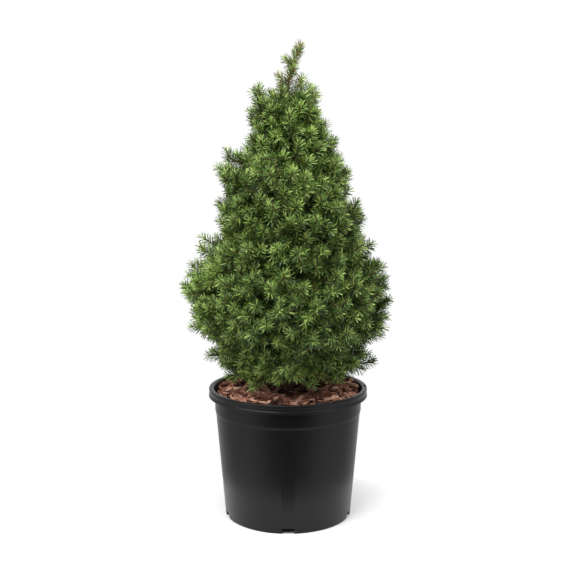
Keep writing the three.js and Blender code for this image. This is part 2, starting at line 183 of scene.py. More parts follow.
STRAYS = (
    Stray(-0.044, 0.0, 0.645, 72),
    Stray(0.021, 0.01, 0.664, 85),
    Stray(0.037, 0.0, 0.648, 70),
    Stray(-0.091, 0.0, 0.556, 78),
    Stray(-0.104, 0.0, 0.532, 30),
    Stray(-0.128, 0.0, 0.428, 40),
    Stray(-0.145, 0.0, 0.386, 55),
    Stray(-0.156, 0.0, 0.350, 8),
    Stray(0.135, 0.0, 0.386, 60),
    Stray(0.142, 0.0, 0.278, 8),
    Stray(0.130, 0.0, 0.236, 5),
    Stray(-0.122, 0.0, 0.246, -5),
    Stray(-0.012, -0.104, 0.446, 45),
    Stray(-0.017, -0.116, 0.420, 38),
)


class Layer(NamedTuple):
    """A layer of shoots."""

    spacing: float
    inset: float  # how far inside the outline they end
    age: int  # in years
    fullness: float  # of needles


LAYERS = (
    Layer(0.019, 0.004, 0, 1.0),
    Layer(0.022, 0.017, 1, 1.0),
    Layer(0.026, 0.038, 2, 1.0),
    Layer(0.030, 0.064, 2, 1.2),
)

# ---- Arrays of points --------------------------------------------------------


def unit(vectors):
    return vectors / np.maximum(np.linalg.norm(vectors, axis=-1, keepdims=True), 1e-12)


def lerp(low, high, share):
    return low + (high - low) * share


def on_circle(azimuth):
    """Level directions at these azimuths."""
    return np.stack([np.cos(azimuth), np.sin(azimuth), np.zeros_like(azimuth)], axis=-1)


def bezier(start, bend, end, share):
    """Points and directions on quadratic curves at shares of their length."""
    share = np.asarray(share)[..., None]
    points = (1 - share) ** 2 * start + 2 * share * (1 - share) * bend + share**2 * end
    return points, unit((1 - share) * (bend - start) + share * (end - bend))


def through(knots, share):
    """Points on a smooth curve through the knots, which are evenly spaced in share."""
    knots = np.asarray(knots, float)
    place = np.clip(np.asarray(share, float), 0, 1) * (len(knots) - 1)
    index = np.minimum(place.astype(int), len(knots) - 2)
    t = (place - index)[..., None]
    last = len(knots) - 1
    before, low, high, after = (knots[np.clip(index + step, 0, last)] for step in (-1, 0, 1, 2))
    slope_low, slope_high = (high - before) / 2, (after - low) / 2
    rise = t * t * (3 - 2 * t)
    return low * (1 - rise) + high * rise + slope_low * t * (1 - t) ** 2 - slope_high * t * t * (1 - t)


def frames(directions, reference):
    """Two directions square to each given one."""
    side = unit(np.cross(np.broadcast_to(reference, directions.shape), directions))
    return side, np.cross(directions, side)


def tube_walls(sides, rings):
    """The triangles between the rings of a tube."""
    row, column = np.meshgrid(np.arange(rings - 1), np.arange(sides), indexing="ij")
    a = row * sides + column
    b = row * sides + (column + 1) % sides
    return np.stack([a, b, b + sides, a, b + sides, a + sides], axis=-1).reshape(-1, 3)


def fan(sides, start, point):
    """The triangles that close a ring of vertices, numbered from the start, to a point past it."""
    around = np.arange(sides)
    return np.stack([start + around, start + (around + 1) % sides, np.full(sides, point)], axis=-1)


def closed_tube(sides, rings):
    """The triangles of a tube closed at both ends, to two points that come after its rings."""
    foot = fan(sides, 0, rings * sides)[:, [1, 0, 2]]
    head = fan(sides, (rings - 1) * sides, rings * sides + 1)
    return np.concatenate([tube_walls(sides, rings), foot, head])


def lofts(paths, radii, sides):
    """Tapering tubes along paths of points, each closed to a point past its end: vertices and triangles."""
    count, steps, _ = paths.shape
    chord = unit(paths[:, -1] - paths[:, 0])
    upright = np.abs(chord[:, 2:]) > 0.8
    reference = np.where(upright, [[1.0, 0, 0]], [[0, 0, 1.0]])[:, None]
    along = unit(np.gradient(paths, axis=1))
    side, cross = frames(along, reference)
    angle = 2 * np.pi * np.arange(sides) / sides
    radii = np.broadcast_to(radii.reshape(count, steps, -1), (count, steps, sides))[..., None]
    ring = side[:, :, None] * np.cos(angle)[:, None] + cross[:, :, None] * np.sin(angle)[:, None]
    rings = paths[:, :, None] + ring * radii
    tips = paths[:, -1] + along[:, -1] * radii[:, -1, 0]
    vertices = np.concatenate([rings.reshape(count, -1, 3), tips[:, None]], axis=1)
    pattern = np.concatenate([tube_walls(sides, steps), fan(sides, (steps - 1) * sides, steps * sides)])
    offsets = np.arange(count)[:, None, None] * (steps * sides + 1)
    return vertices.reshape(-1, 3), (pattern + offsets).reshape(-1, 3)


def joined(meshes):
    """Joins meshes given as (vertices, triangles) into one."""
    starts = np.cumsum([0] + [len(vertices) for vertices, _ in meshes[:-1]])
    triangles = [faces + start for (_, faces), start in zip(meshes, starts)]
    return np.concatenate([vertices for vertices, _ in meshes]), np.concatenate(triangles)


def placed(name, data):
    """An object in the scene."""
    made = bpy.data.objects.new(name, data)
    bpy.context.scene.collection.objects.link(made)
    return made


def piece(name, mesh_arrays, materials, replaces=(), tones=None, smooth=False):
    """A mesh object made from arrays, which rides on the plant and stands for CAD nodes."""
    vertices, triangles = mesh_arrays
    mesh = bpy.data.meshes.new(name)
    mesh.vertices.add(len(vertices))
    mesh.vertices.foreach_set("co", vertices.astype(np.float32).ravel())
    mesh.loops.add(triangles.size)
    mesh.loops.foreach_set("vertex_index", triangles.astype(np.int32).ravel())
    mesh.polygons.add(len(triangles))
    mesh.polygons.foreach_set("loop_start", np.arange(0, triangles.size, 3, dtype=np.int32))
    for material in materials:
        mesh.materials.append(material)
    if tones is not None:
        mesh.polygons.foreach_set("material_index", tones.astype(np.int32))
    mesh.update(calc_edges=True)
    if smooth:
        mesh.shade_smooth()
    else:
        mesh.shade_flat()
    made = placed(name, mesh)
    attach(made, "root")
    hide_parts(*replaces)
    return made


# ---- Materials ---------------------------------------------------------------


def set_stops(node, stops):
    """Gives a ramp its colours at places from 0 to 1, blended between them."""
    elements = node.color_ramp.elements
    while len(elements) < len(stops):
        elements.new(0.5)
    for element, (place, color) in zip(elements, stops):
        element.position = place
        element.color = (*color, 1)


class Nodes:
    """A material under construction: makes nodes, sets their inputs and links them."""

    def __init__(self, name):
        self.material = bpy.data.materials.new(name)
        self.material.use_nodes = True
        self.tree = self.material.node_tree
        self.shader = next(node for node in self.tree.nodes if node.type == "BSDF_PRINCIPLED")

    def add(self, kind, **inputs):
        node = self.tree.nodes.new(kind)
        for name, value in inputs.items():
            self.put(node.inputs[name.replace("_", " ")], value)
        return node

    def put(self, socket, value):
        if isinstance(value, bpy.types.NodeSocket):
            self.tree.links.new(value, socket)
        else:
            socket.default_value = value

    def shade(self, **inputs):
        for name, value in inputs.items():
            self.put(self.shader.inputs[name.replace("_", " ")], value)
        return self.material

    def noise(self, vector, scale, detail=4.0, roughness=0.6):
        node = self.add("ShaderNodeTexNoise", Scale=scale, Detail=detail, Roughness=roughness)
        self.put(node.inputs["Vector"], vector)
        return node.outputs["Fac"]

    def stretched(self, vector, scale):
        node = self.add("ShaderNodeMapping", Scale=scale)
        self.put(node.inputs["Vector"], vector)
        return node.outputs["Vector"]

    def ramp(self, value, stops):
        node = self.add("ShaderNodeValToRGB", Fac=value)
        set_stops(node, stops)
        return node.outputs["Color"]

    def between(self, value, low, high):
        """The value, which runs from 0 to 1, brought to run from low to high."""
        node = self.add("ShaderNodeMapRange", Value=value)
        node.inputs["To Min"].default_value = low
        node.inputs["To Max"].default_value = high
        return node.outputs["Result"]

    def sum(self, first, second):
        node = self.tree.nodes.new("ShaderNodeMath")
        self.put(node.inputs[0], first)
        self.put(node.inputs[1], second)
        return node.outputs["Value"]

    def bump(self, height, distance):
        node = self.add("ShaderNodeBump", Height=height, Distance=distance, Strength=1.0)
        return node.outputs["Normal"]

    def attribute(self, name, output):
        node = self.tree.nodes.new("ShaderNodeAttribute")
        node.attribute_name = name
        return node.outputs[output]

    @property
    def place(self):
        """Where a point lies on the object, in metres."""
        return self.add("ShaderNodeTexCoord").outputs["Object"]


# DEEP_GREEN is also the painted shade of the needles deep in the crown
DEEP_GREEN = np.array([0.026, 0.052, 0.011])
FRESH_GREEN = np.array([0.400, 0.570, 0.140])
TONE_COUNT = 7  # the greens of the needles
NEEDLE_RUSSET = (0.300, 0.150, 0.045)
TWIG_BROWNS = ((0.230, 0.160, 0.065), (0.090, 0.058, 0.028), (0.040, 0.026, 0.016))
BUD_BROWN = (0.260, 0.130, 0.055)


def plain(name, color, roughness):
    """A plain colour, the same all over a needle, twig or bud."""
    return Nodes(name).shade(Base_Color=(*color, 1), Roughness=roughness, Specular_IOR_Level=0.35)


def needle_materials():
    """Greens from the deep ones, which are partly old needles' own colour and partly painted shade inside the
    crown, to the fresh ones at the tips.
    """
    shares = np.linspace(0, 1, TONE_COUNT)[:, None]
    colors = DEEP_GREEN ** (1 - shares) * FRESH_GREEN**shares
    greens = [plain(f"needle_green_{i}", tuple(color), roughness=0.34) for i, color in enumerate(colors)]
    return [*greens, plain("needle_russet", NEEDLE_RUSSET, roughness=0.45)]


def twig_materials():
    browns = [plain(f"twig_brown_{i}", color, roughness=0.75) for i, color in enumerate(TWIG_BROWNS)]
    return [*browns, plain("bud_brown", BUD_BROWN, roughness=0.55)]


def bark_material():
    """Grey-brown bark in thin scales, darker between them."""
    nodes = Nodes("bark")
    scales = nodes.noise(nodes.stretched(nodes.place, (1, 1, 0.45)), 420)
    grain = nodes.noise(nodes.place, 1800, 6)
    color = nodes.ramp(
        nodes.sum(nodes.between(scales, 0, 0.8), nodes.between(grain, 0, 0.2)),
        [(0.35, (0.030, 0.018, 0.012)), (0.52, (0.110, 0.066, 0.040)), (0.72, (0.230, 0.160, 0.110))],
    )
    return nodes.shade(
        Base_Color=color,
        Roughness=nodes.between(grain, 0.75, 0.95),
        Normal=nodes.bump(scales, 0.0006),
    )


def pot_material():
    """Black moulded plastic with a satin skin, a little dust and fine scuffs."""
    nodes = Nodes("pot_plastic")
    cloud = nodes.noise(nodes.place, 22, 3)
    fine = nodes.noise(nodes.place, 900, 2)
    scuff = nodes.noise(nodes.stretched(nodes.place, (60, 60, 8)), 6, 4)
    color = nodes.ramp(
        nodes.sum(nodes.between(cloud, 0, 0.6), nodes.between(scuff, 0, 0.4)),
        [(0.3, (0.0026, 0.0026, 0.0028)), (0.75, (0.0046, 0.0046, 0.0046))],
    )
    return nodes.shade(
        Base_Color=color,
        Roughness=nodes.sum(nodes.between(scuff, 0.24, 0.32), nodes.between(fine, 0.0, 0.06)),
        Specular_IOR_Level=0.28,
        Normal=nodes.bump(fine, 0.00005),
    )


def soil_material():
    """Dark peat with crumbs."""
    nodes = Nodes("potting_soil")
    crumbs = nodes.noise(nodes.place, 300, 6, 0.7)
    color = nodes.ramp(crumbs, [(0.35, (0.010, 0.006, 0.004)), (0.7, (0.060, 0.036, 0.022))])
    return nodes.shade(Base_Color=color, Roughness=0.95, Normal=nodes.bump(crumbs, 0.002))


def mulch_material():
    """Red-brown bark chips: each has its own tone, partly at random and partly painted shade on the lower
    chips and the bed, with a grain along it and pale torn fibres.
    """
    nodes = Nodes("bark_chips")
    tone = nodes.attribute("chip_tone", "Fac")
    grain = nodes.noise(nodes.stretched(nodes.attribute("chip_place", "Vector"), (60, 520, 520)), 1, 5)
    crumbs = nodes.noise(nodes.place, 700, 5, 0.7)
    shade = nodes.sum(nodes.between(grain, -0.42, 0.42), nodes.between(crumbs, -0.2, 0.2))
    color = nodes.ramp(
        nodes.sum(tone, shade),
        [
            (0.08, (0.010, 0.004, 0.003)),
            (0.35, (0.170, 0.062, 0.038)),
            (0.62, (0.520, 0.220, 0.140)),
            (0.9, (0.800, 0.480, 0.340)),
        ],
    )
    return nodes.shade(
        Base_Color=color,
        Roughness=nodes.between(crumbs, 0.75, 0.98),
        Normal=nodes.bump(nodes.sum(grain, crumbs), 0.0012),
    )


# ---- Pot, soil and mulch -----------------------------------------------------


def rounded(outline, radius):
    """The outline with each corner rounded by a short curve of the radius, or less on short sides."""
    points = []
    for before, corner, after in zip(outline, outline[1:], outline[2:]):
        arms = [np.subtract(end, corner) for end in (before, after)]
        reach = min(radius, *(0.4 * np.linalg.norm(arm) for arm in arms))
        start, end = (corner + unit(arm) * reach for arm in arms)
        points.extend(bezier(start, np.array(corner), end, np.linspace(0, 1, 5))[0])
    return np.array([outline[0], *points, outline[-1]])


def pot_outline():
    """Half of the pot's section, as [radius, height], from the axis round the outside and back inside."""
    lip_foot = POT_HEIGHT - LIP_DROP
    collar_z = POT_HEIGHT - COLLAR_DROP
    inner_foot = lerp(BASE_RADIUS, BODY_TOP_RADIUS, BOTTOM / collar_z) - WALL
    outline = [
        # the underside, which stands on a ring round its edge
        [0, 0.0005],
        [BASE_RADIUS - 0.012, 0.0005],
        [BASE_RADIUS - 0.011, 0],
        # the body and the collar
        [BASE_RADIUS, 0],
        [BODY_TOP_RADIUS, collar_z - 0.004],
        [COLLAR_RADIUS, collar_z],
        [COLLAR_RADIUS, lip_foot - 0.002],
        # up inside the turned-down rim, round its foot and up its outside
        [RIM_RADIUS - 0.0045, POT_HEIGHT - 0.0035],
        [RIM_RADIUS - 0.0005, lip_foot],
        [RIM_RADIUS + FLANGE, lip_foot],
        [RIM_RADIUS + FLANGE, lip_foot + 0.0022],
        [RIM_RADIUS - 0.0002, lip_foot + 0.0054],
        [RIM_RADIUS + 0.0014, POT_HEIGHT - 0.0028],
        [RIM_RADIUS + 0.0006, POT_HEIGHT],
        # over the rim's top and down the inside
        [COLLAR_RADIUS - WALL + 0.004, POT_HEIGHT],
        [COLLAR_RADIUS - WALL, lip_foot - 0.002],
        [COLLAR_RADIUS - WALL, collar_z],
        [BODY_TOP_RADIUS - WALL, collar_z - 0.004],
        [inner_foot, BOTTOM],
        [0, BOTTOM],
    ]
    return rounded(outline, EDGE_ROUNDING)


def turned(outline, sides):
    """A solid of revolution from an outline that starts and ends on the axis: vertices and triangles."""
    outline = np.array(outline)
    angle = 2 * np.pi * np.arange(sides) / sides
    inner = outline[1:-1]
    rings = inner[:, None, :1] * on_circle(angle)
    rings[..., 2] = inner[:, None, 1]
    ends = [[0, 0, outline[0][1]], [0, 0, outline[-1][1]]]
    vertices = np.concatenate([rings.reshape(-1, 3), ends])
    return vertices, closed_tube(sides, len(inner))


def box_at(center, size, turn):
    """A box turned about Z: vertices and triangles."""
    corners = np.array([[x, y, z] for x in (-0.5, 0.5) for y in (-0.5, 0.5) for z in (-0.5, 0.5)]) * size
    cos, sin = math.cos(turn), math.sin(turn)
    corners = corners @ np.array([[cos, sin, 0], [-sin, cos, 0], [0, 0, 1]]) + center
    quads = [(0, 1, 3, 2), (4, 6, 7, 5), (0, 4, 5, 1), (2, 3, 7, 6), (0, 2, 6, 4), (1, 5, 7, 3)]
    return corners, np.array([face for a, b, c, d in quads for face in ((a, b, c), (a, c, d))])


def pot_cutters():
    """The drain slots round the foot and the small slot for a label in the rim."""
    cutters = []
    for i in range(DRAIN_COUNT):
        turn = math.radians(-90 + 360 * i / DRAIN_COUNT)
        center = BASE_RADIUS * on_circle(np.array(turn))
        cutters.append(box_at(center, (2 * DRAIN_DEPTH, DRAIN_WIDTH, 2 * DRAIN_HEIGHT), turn))
    turn = math.radians(TAG_HOLE_TURN)
    center = (RIM_RADIUS - TAG_HOLE_INSET) * on_circle(np.array(turn)) + [0, 0, POT_HEIGHT]
    cutters.append(box_at(center, (*TAG_HOLE_SIZE, 0.02), turn))
    return joined(cutters)


def make_pot():
    shell = turned(pot_outline(), POT_SIDES)
    pot = piece("pot_shell", shell, [pot_material()], ["pot"], smooth=True)
    cutter = piece("pot_cutters", pot_cutters(), [])
    cut = pot.modifiers.new("holes", "BOOLEAN")
    cut.object = cutter
    cut.solver = "EXACT"
    apply_modifiers(pot)
    bpy.data.objects.remove(cutter)
    pot.data.set_sharp_from_angle(angle=math.radians(40))


def apply_modifiers(made):
    shown = made.evaluated_get(bpy.context.evaluated_depsgraph_get())
    mesh = bpy.data.meshes.new_from_object(shown)
    made.modifiers.clear()
    made.data = mesh


CHIP_ACROSS = np.array([-0.5, -0.27, 0.0, 0.26, 0.5, 0.33, -0.36])  # a section's corners, in widths
CHIP_UP = np.array([0.05, 0.5, 0.4, 0.5, 0.0, -0.5, -0.5])  # the same corners, in thicknesses
CHIP_STATIONS = ((-0.5, 0.66), (-0.34, 0.95), (-0.02, 1.0), (0.3, 0.96), (0.5, 0.6))  # places and sizes
CHIP_FACES = closed_tube(len(CHIP_ACROSS), len(CHIP_STATIONS))


def chip_shape(random):
    """The vertices of a torn splinter of bark about its own middle, its grain along X: grooved sections."""
    length = 0.008 + 0.028 * random.random() ** 1.7
    width = length * random.uniform(0.18, 0.42)
    thick = 0.0012 + 0.10 * length * random.uniform(0.6, 1.2)
    up = CHIP_UP + random.uniform(-0.2, 0.2, len(CHIP_UP))
    arch = random.uniform(-0.4, 0.5)
    askew = random.uniform(-0.5, 0.5, 2)
    rings = []
    for station, size in CHIP_STATIONS:
        endness = (2 * station) ** 2
        ring = np.empty((len(CHIP_ACROSS), 3))
        torn = random.uniform(-0.07, 0.07, len(CHIP_ACROSS)) * length * endness
        slant = askew[int(station > 0)] * endness
        ring[:, 0] = station * length + slant * CHIP_ACROSS * width + torn
        ring[:, 1] = CHIP_ACROSS * width * size * random.uniform(0.88, 1.08)
        ring[:, 2] = (up * lerp(0.6, 1, size) + arch * (1 - endness)) * thick
        rings.append(ring)
    middles = np.array([rings[0].mean(axis=0), rings[-1].mean(axis=0)])
    return np.concatenate([*rings, middles])


def turn_about(vertices, tilt, roll, turn):
    """Tilts about Y, rolls about X and turns about Z."""
    for axis, angle in ((1, tilt), (0, roll), (2, turn)):
        i, j = [k for k in range(3) if k != axis]
        cos, sin = math.cos(angle), math.sin(angle)
        turned_points = vertices.copy()
        turned_points[:, i] = cos * vertices[:, i] - sin * vertices[:, j]
        turned_points[:, j] = sin * vertices[:, i] + cos * vertices[:, j]
        vertices = turned_points
    return vertices


class Heap:
    """The surface that chips are dropped on, as heights on a grid over the pot's mouth."""

    def __init__(self, radius, floor, ceiling):
        self.radius = radius
        self.ceiling = ceiling
        size = int(2 * radius / HEAP_PITCH) + 3
        self.height = np.full((size, size), floor)

    def cells(self, points):
        """The grid cells under the points."""
        index = ((points[:, :2] + self.radius) / HEAP_PITCH).round().astype(int)
        index = np.clip(index, 0, len(self.height) - 1)
        return index[:, 0], index[:, 1]

    def drop(self, vertices, sink):
        """How far to lift a chip so that it lies sunk into what it lands on, and below the ceiling. Marks its
        place."""
        dense = np.concatenate([lerp(vertices.mean(axis=0), vertices, share) for share in (0.35, 0.7, 1.0)])
        cells = self.cells(dense)
        lift = np.quantile(self.height[cells] - dense[:, 2], 0.9) - sink
        lift = min(lift, self.ceiling - vertices[:, 2].max())
        np.maximum.at(self.height, cells, dense[:, 2] + lift)
        return lift


def make_mulch():
    """Bark chips dropped all over the bed, up to the trunk. The earlier ones, lower in the heap, are painted
    darker as shade, so the later ones, on top, tend to be paler.
    """
    random = np.random.default_rng([SEED, 1])
    heap = Heap(MULCH_RADIUS, BED_TOP, CHIP_CEILING)
    reaches = np.sqrt(random.permutation(CHIP_COUNT) + 0.5) / math.sqrt(CHIP_COUNT)
    meshes, tones, places = [], [], []
    for i, share in enumerate(reaches):
        local = chip_shape(random)
        tilts = np.clip(random.normal(0, 0.25, 2), -0.4, 0.4)
        shape = turn_about(local, *tilts, random.uniform(0, 2 * np.pi))
        shape += lerp(CHIP_NEAREST, MULCH_RADIUS, share) * on_circle(np.array(GOLDEN_TURN * i))
        radii = np.linalg.norm(shape[:, :2], axis=1)
        if radii.max() > MULCH_RADIUS:
            shape[:, :2] *= 1 - (radii.max() - MULCH_RADIUS + 0.0005) / radii.mean()
        shape[:, 2] += heap.drop(shape, CHIP_SINK)
        meshes.append((shape, CHIP_FACES))
        # painted shade: the earlier chips, lower in the heap, are darker; the rest of the tone differs at
        # random
        tone = random.normal(0.36, 0.25) + 0.30 * i / CHIP_COUNT
        tones.append(np.full(len(shape), np.clip(tone, 0.0, 1.0)))
        places.append(local + random.uniform(-1, 1, 3))
    bed = turned([[0, MULCH_LOW.z], [MULCH_RADIUS, MULCH_LOW.z], [MULCH_RADIUS, BED_TOP], [0, BED_TOP]], 96)
    meshes.append(bed)
    # the bed's dark tone is painted shade in the gaps between the chips
    tones.append(np.full(len(bed[0]), 0.2))
    places.append(bed[0])
    mulch = piece("bark_chips", joined(meshes), [mulch_material()], ["bark_mulch"])
    tone = mulch.data.attributes.new("chip_tone", "FLOAT", "POINT")
    tone.data.foreach_set("value", np.concatenate(tones).astype(np.float32))
    place = mulch.data.attributes.new("chip_place", "FLOAT_VECTOR", "POINT")
    place.data.foreach_set("vector", np.concatenate(places).astype(np.float32).ravel())


# ---- The crown's rule --------------------------------------------------------


def crown_at(height, azimuth):
    """How far the tips of the crown reach at a height and azimuth, and how steeply its shoots climb there."""
    heights, lefts, rights, necks, rises = OUTLINE_COLUMNS
    side = (1 + np.cos(azimuth)) / 2
    low = np.clip(np.searchsorted(heights, height, side="right") - 1, 0, len(OUTLINE) - 2)
    share = np.clip((height - heights[low]) / (heights[low + 1] - heights[low]), 0, 1)
    reach = lerp(lerp(lefts[low], rights[low], side), lerp(lefts[low + 1], rights[low + 1], side), share)
    reach = reach * (1 - necks[low] * np.sin(np.pi * share) ** 2)
    return reach, np.radians(lerp(rises[low], rises[low + 1], share))


def climb_at(points):
    """The way that the crown's outer shoots point at these places."""
    azimuth = np.arctan2(points[:, 1], points[:, 0])
    _, rise = crown_at(points[:, 2], azimuth)
    climb = on_circle(azimuth) * np.cos(rise)[:, None]
    climb[:, 2] = np.sin(rise)
    return climb


def spiral(spacing, inset):
    """Evenly spaced tips on a spiral up the crown's outline and in over its head, moved in by the inset."""
    tips = []
    height = CROWN_FOOT.height + 0.006  # of the lowest tip
    turn = 0
    while height < CROWN_HEAD.height:
        azimuth = GOLDEN_TURN * turn + SPIRAL_START
        reach, _ = crown_at(height, azimuth)
        tips.append([reach * math.cos(azimuth), reach * math.sin(azimuth), height])
        height += spacing**2 / (2 * math.pi * reach)
        turn += 1
    wide = (CROWN_HEAD.left + CROWN_HEAD.right) / 2
    count = int(math.pi * wide**2 / spacing**2)
    for i in range(count):
        azimuth = GOLDEN_TURN * (turn + i) + SPIRAL_START
        reach, _ = crown_at(CROWN_HEAD.height, azimuth)
        share = math.sqrt(1 - (i + 0.5) / count)
        height = CROWN_HEAD.height - HEAD_DIP * (1 - share**2)
        tips.append([share * reach * math.cos(azimuth), share * reach * math.sin(azimuth), height])
    tips = np.array(tips)
    return tips - climb_at(tips) * inset


TRUNK_KNOTS = [
    [0, 0, 0],
    [0, 0, 0.06],
    [TRUNK_SWAY, -TRUNK_SWAY / 2, 0.35],
    [-TRUNK_SWAY / 3, TRUNK_SWAY / 2, 0.7],
    [LEADER_X, 0, 1],
]
TRUNK_LINE = [[x, y, lerp(TRUNK_LOW.z, TRUNK_HIGH.z, share)] for x, y, share in TRUNK_KNOTS]


def trunk_radius(share):
    return lerp(TRUNK_RADIUS, TRUNK_TIP_RADIUS, share) + TRUNK_FLARE * np.exp(-share / FLARE_FADE)


def trunk_share(height):
    """The share of the trunk's curve at a height."""
    shares = np.linspace(0, 1, 200)
    return np.interp(height, through(TRUNK_LINE, shares)[:, 2], shares)


class Mass:
    """A mass of foliage, by the numbers of the solids: the middle of its space, and the limb it stands on."""

    def __init__(self, tier, k, serial):
        distance = 0.27 * (tier.left + tier.right)
        azimuth = math.radians(tier.turn + 360 * k / tier.count + 6 * math.sin(3.1 * serial))
        self.name = f"{tier.name}_{k + 1}"
        self.tier = tier
        self.serial = serial
        self.outward = on_circle(np.array(azimuth))
        self.inner = 0.5 * distance if tier.boughs else 0.0
        self.center = self.outward * distance
        self.center[2] = tier.height + 0.006 * math.sin(4.3 * serial)
        self.bough = self.make_bough() if tier.boughs else None
        self.foot = self.bough["curve"][2] if tier.boughs else self.foot_on_trunk()

    def make_bough(self):
        """The bough leaves the trunk below its mass, climbs towards it and ends where it enters the mass."""
        tip = self.outward * (self.inner - 0.003)
        tip[2] = self.center[2] - 0.005
        distance = math.hypot(tip[0], tip[1])
        climb = math.radians(min(max(self.tier.rise + 22, 6), 50))
        height = tip[2] - distance * math.tan(climb) + 0.004 * math.sin(5 * self.serial)
        share = trunk_share(height)
        start = through(TRUNK_LINE, share)
        bend = lerp(start, tip, 0.55)
        bend[2] -= 0.06 * distance
        return {"curve": (start, bend, tip), "foot_radius": 0.42 * trunk_radius(share)}

    def foot_on_trunk(self):
        drop = 0.4 * math.hypot(self.center[0], self.center[1])
        return through(TRUNK_LINE, trunk_share(self.center[2] - drop))


def make_masses():
    masses = []
    for tier in TIERS:
        for k in range(tier.count):
            masses.append(Mass(tier, k, len(masses)))
    return masses


def lump_depth(tips):
    """How far each tip is drawn back: the sprays gather in lumps, with dark hollows between them."""
    lumps = spiral(LUMP_SPACING, 0.0)
    random = np.random.default_rng([SEED, 2])
    shift = LUMP_SHIFT * random.random(len(lumps))
    away = np.linalg.norm(tips[:, None] - lumps, axis=2)
    share = np.minimum(away.min(axis=1) / (LUMP_SPACING / 2), 1.2)
    return shift[away.argmin(axis=1)] + LUMP_RELIEF * share**2


def shared_out(tips, masses):
    """For each mass, the tips that are nearer to its middle than to any other's."""
    centers = np.array([mass.center for mass in masses])
    nearest = np.linalg.norm(tips[:, None] - centers, axis=2).argmin(axis=1)
    return [tips[nearest == i] for i in range(len(masses))]


# ---- Twigs and shoots --------------------------------------------------------


class Growth(NamedTuple):
    """Twigs of one kind, as quadratic curves, and how they are clothed with needles."""

    start: np.ndarray
    bend: np.ndarray
    tip: np.ndarray
    radii: tuple  # at the foot and at the tip
    age: int  # in years
    tone: np.ndarray  # of each twig's needles, which are lighter the higher it is
    bare: np.ndarray  # the share of each twig, from its foot, that bears none
    fullness: float = 1.0
    needle: float = NEEDLE_LENGTH
    russet: float = 0.0  # the share of the needles that is russet

    def paths(self, shares):
        """Points on each twig at shares of its length."""
        return bezier(self.start[:, None], self.bend[:, None], self.tip[:, None], shares)[0]


def uplift(points):
    """How much the shoots turn up: more the higher they stand."""
    return np.interp(points[:, 2], [0.25, 0.40, 0.60], [0.10, 0.55, 1.15])


def leaving(points, directions, ends, slope):
    """Which sample of a twig the growth to each end leaves from, so that it sets off at about the slope."""
    arms = unit(ends[:, None] - points)
    cosine = np.sum(arms * directions, axis=2)
    return np.abs(cosine - slope).argmin(axis=1)


def picked(samples, index):
    return samples[np.arange(len(index)), index]


def stray_ways(strays):
    """The way that each stray shoot points, away from the trunk."""
    outward = unit(np.array([[stray.x, stray.y, 0] for stray in strays]))
    climb = np.radians([stray.climb for stray in strays])[:, None]
    return outward * np.cos(climb) + np.sin(climb) * [0, 0, 1]


def grow(mass, spray_tips, strays, layer_tips):
    """The main stem of a mass, the branches that leave it, and the layers of shoots on the branches."""
    random = np.random.default_rng([SEED, 10 + mass.serial])
    count = len(spray_tips)
    climb = climb_at(spray_tips)
    fanned = unit(spray_tips - mass.center)
    direction = climb + 0.4 * fanned + 0.45 * (random.random((count, 3)) - 0.5)
    direction[:, 2] += uplift(spray_tips)
    direction = unit(direction)
    depth = lump_depth(spray_tips) + 0.006 * random.random(count)
    tips = spray_tips - direction * depth[:, None]
    tone = random.normal(0, 0.5, count + len(strays))
    main = np.sum((tips - mass.center) * climb, axis=1).argmax()
    if strays:
        tips = np.concatenate([tips, [[stray.x, stray.y, stray.z] for stray in strays]])
        direction = np.concatenate([direction, stray_ways(strays)])
        depth = np.concatenate([depth, np.zeros(len(strays))])

    samples = np.linspace(0.1, 0.85, 16)
    points, along = bezier(mass.foot, mass.center, tips[main], samples)
    left_at = leaving(points[None], along[None], tips, 0.66)
    start = points[left_at]
    length = np.linalg.norm(tips - start, axis=1, keepdims=True)
    bend = tips - direction * 0.5 * length
    clothed = np.minimum(CLOTHED_BRANCH / length[:, 0], 0.95)
    branches = Growth(start, bend, tips, BRANCH_RADII, 0, tone, 1 - clothed)
    stem_curve = (mass.foot[None], mass.center[None], tips[main][None])
    stem = Growth(*stem_curve, STEM_RADII, 1, tone[main : main + 1], np.array([0.5]))
    grown = [stem, branches]
    points, along = bezier(start[:, None], bend[:, None], tips[:, None], np.linspace(0.08, 0.9, 14))
    for layer, ends in zip(LAYERS, layer_tips):
        if len(ends):
            grown.append(shoots(layer, ends, tips, direction, depth, tone, points, along, random))
    return grown


def shoots(layer, ends, spray_tips, spray_ways, spray_depth, spray_tone, points, along, random):
    """The shoots of one layer: each ends near the tip of a spray and leaves that spray's branch."""
    spray = np.linalg.norm(ends[:, None] - spray_tips, axis=2).argmin(axis=1)
    way = spray_ways[spray]
    offset = ends - spray_tips[spray]
    aside = offset - np.sum(offset * way, axis=1, keepdims=True) * way
    spread = np.linalg.norm(aside, axis=1) / (SPRAY_SPACING / 2)
    drawn = spray_depth[spray] + 0.005 * np.minimum(spread, 1.5) ** 2 + 0.006 * random.random(len(ends))
    ends = ends - way * drawn[:, None] + random.normal(0, 0.0015, ends.shape)
    sample = leaving(points[spray], along[spray], ends, 0.7)
    start = picked(points[spray], sample)
    arm = ends - start
    length = np.linalg.norm(arm, axis=1, keepdims=True)
    kept = (length[:, 0] > 0.008) & (length[:, 0] < 0.11)
    apart = aside / (SPRAY_SPACING / 2)
    way = unit(way + 0.35 * apart + 0.5 * unit(arm) + 0.22 * random.normal(0, 1, ends.shape))
    bend = ends - way * 0.45 * length
    tone = spray_tone[spray] + random.normal(0, 0.4, len(ends))
    bare = np.clip(1 - CLOTHED_SHOOT / length[:, 0], 0.05, 0.9)
    curves = (start[kept], bend[kept], ends[kept])
    return Growth(*curves, SHOOT_RADII, layer.age, tone[kept], bare[kept], layer.fullness)


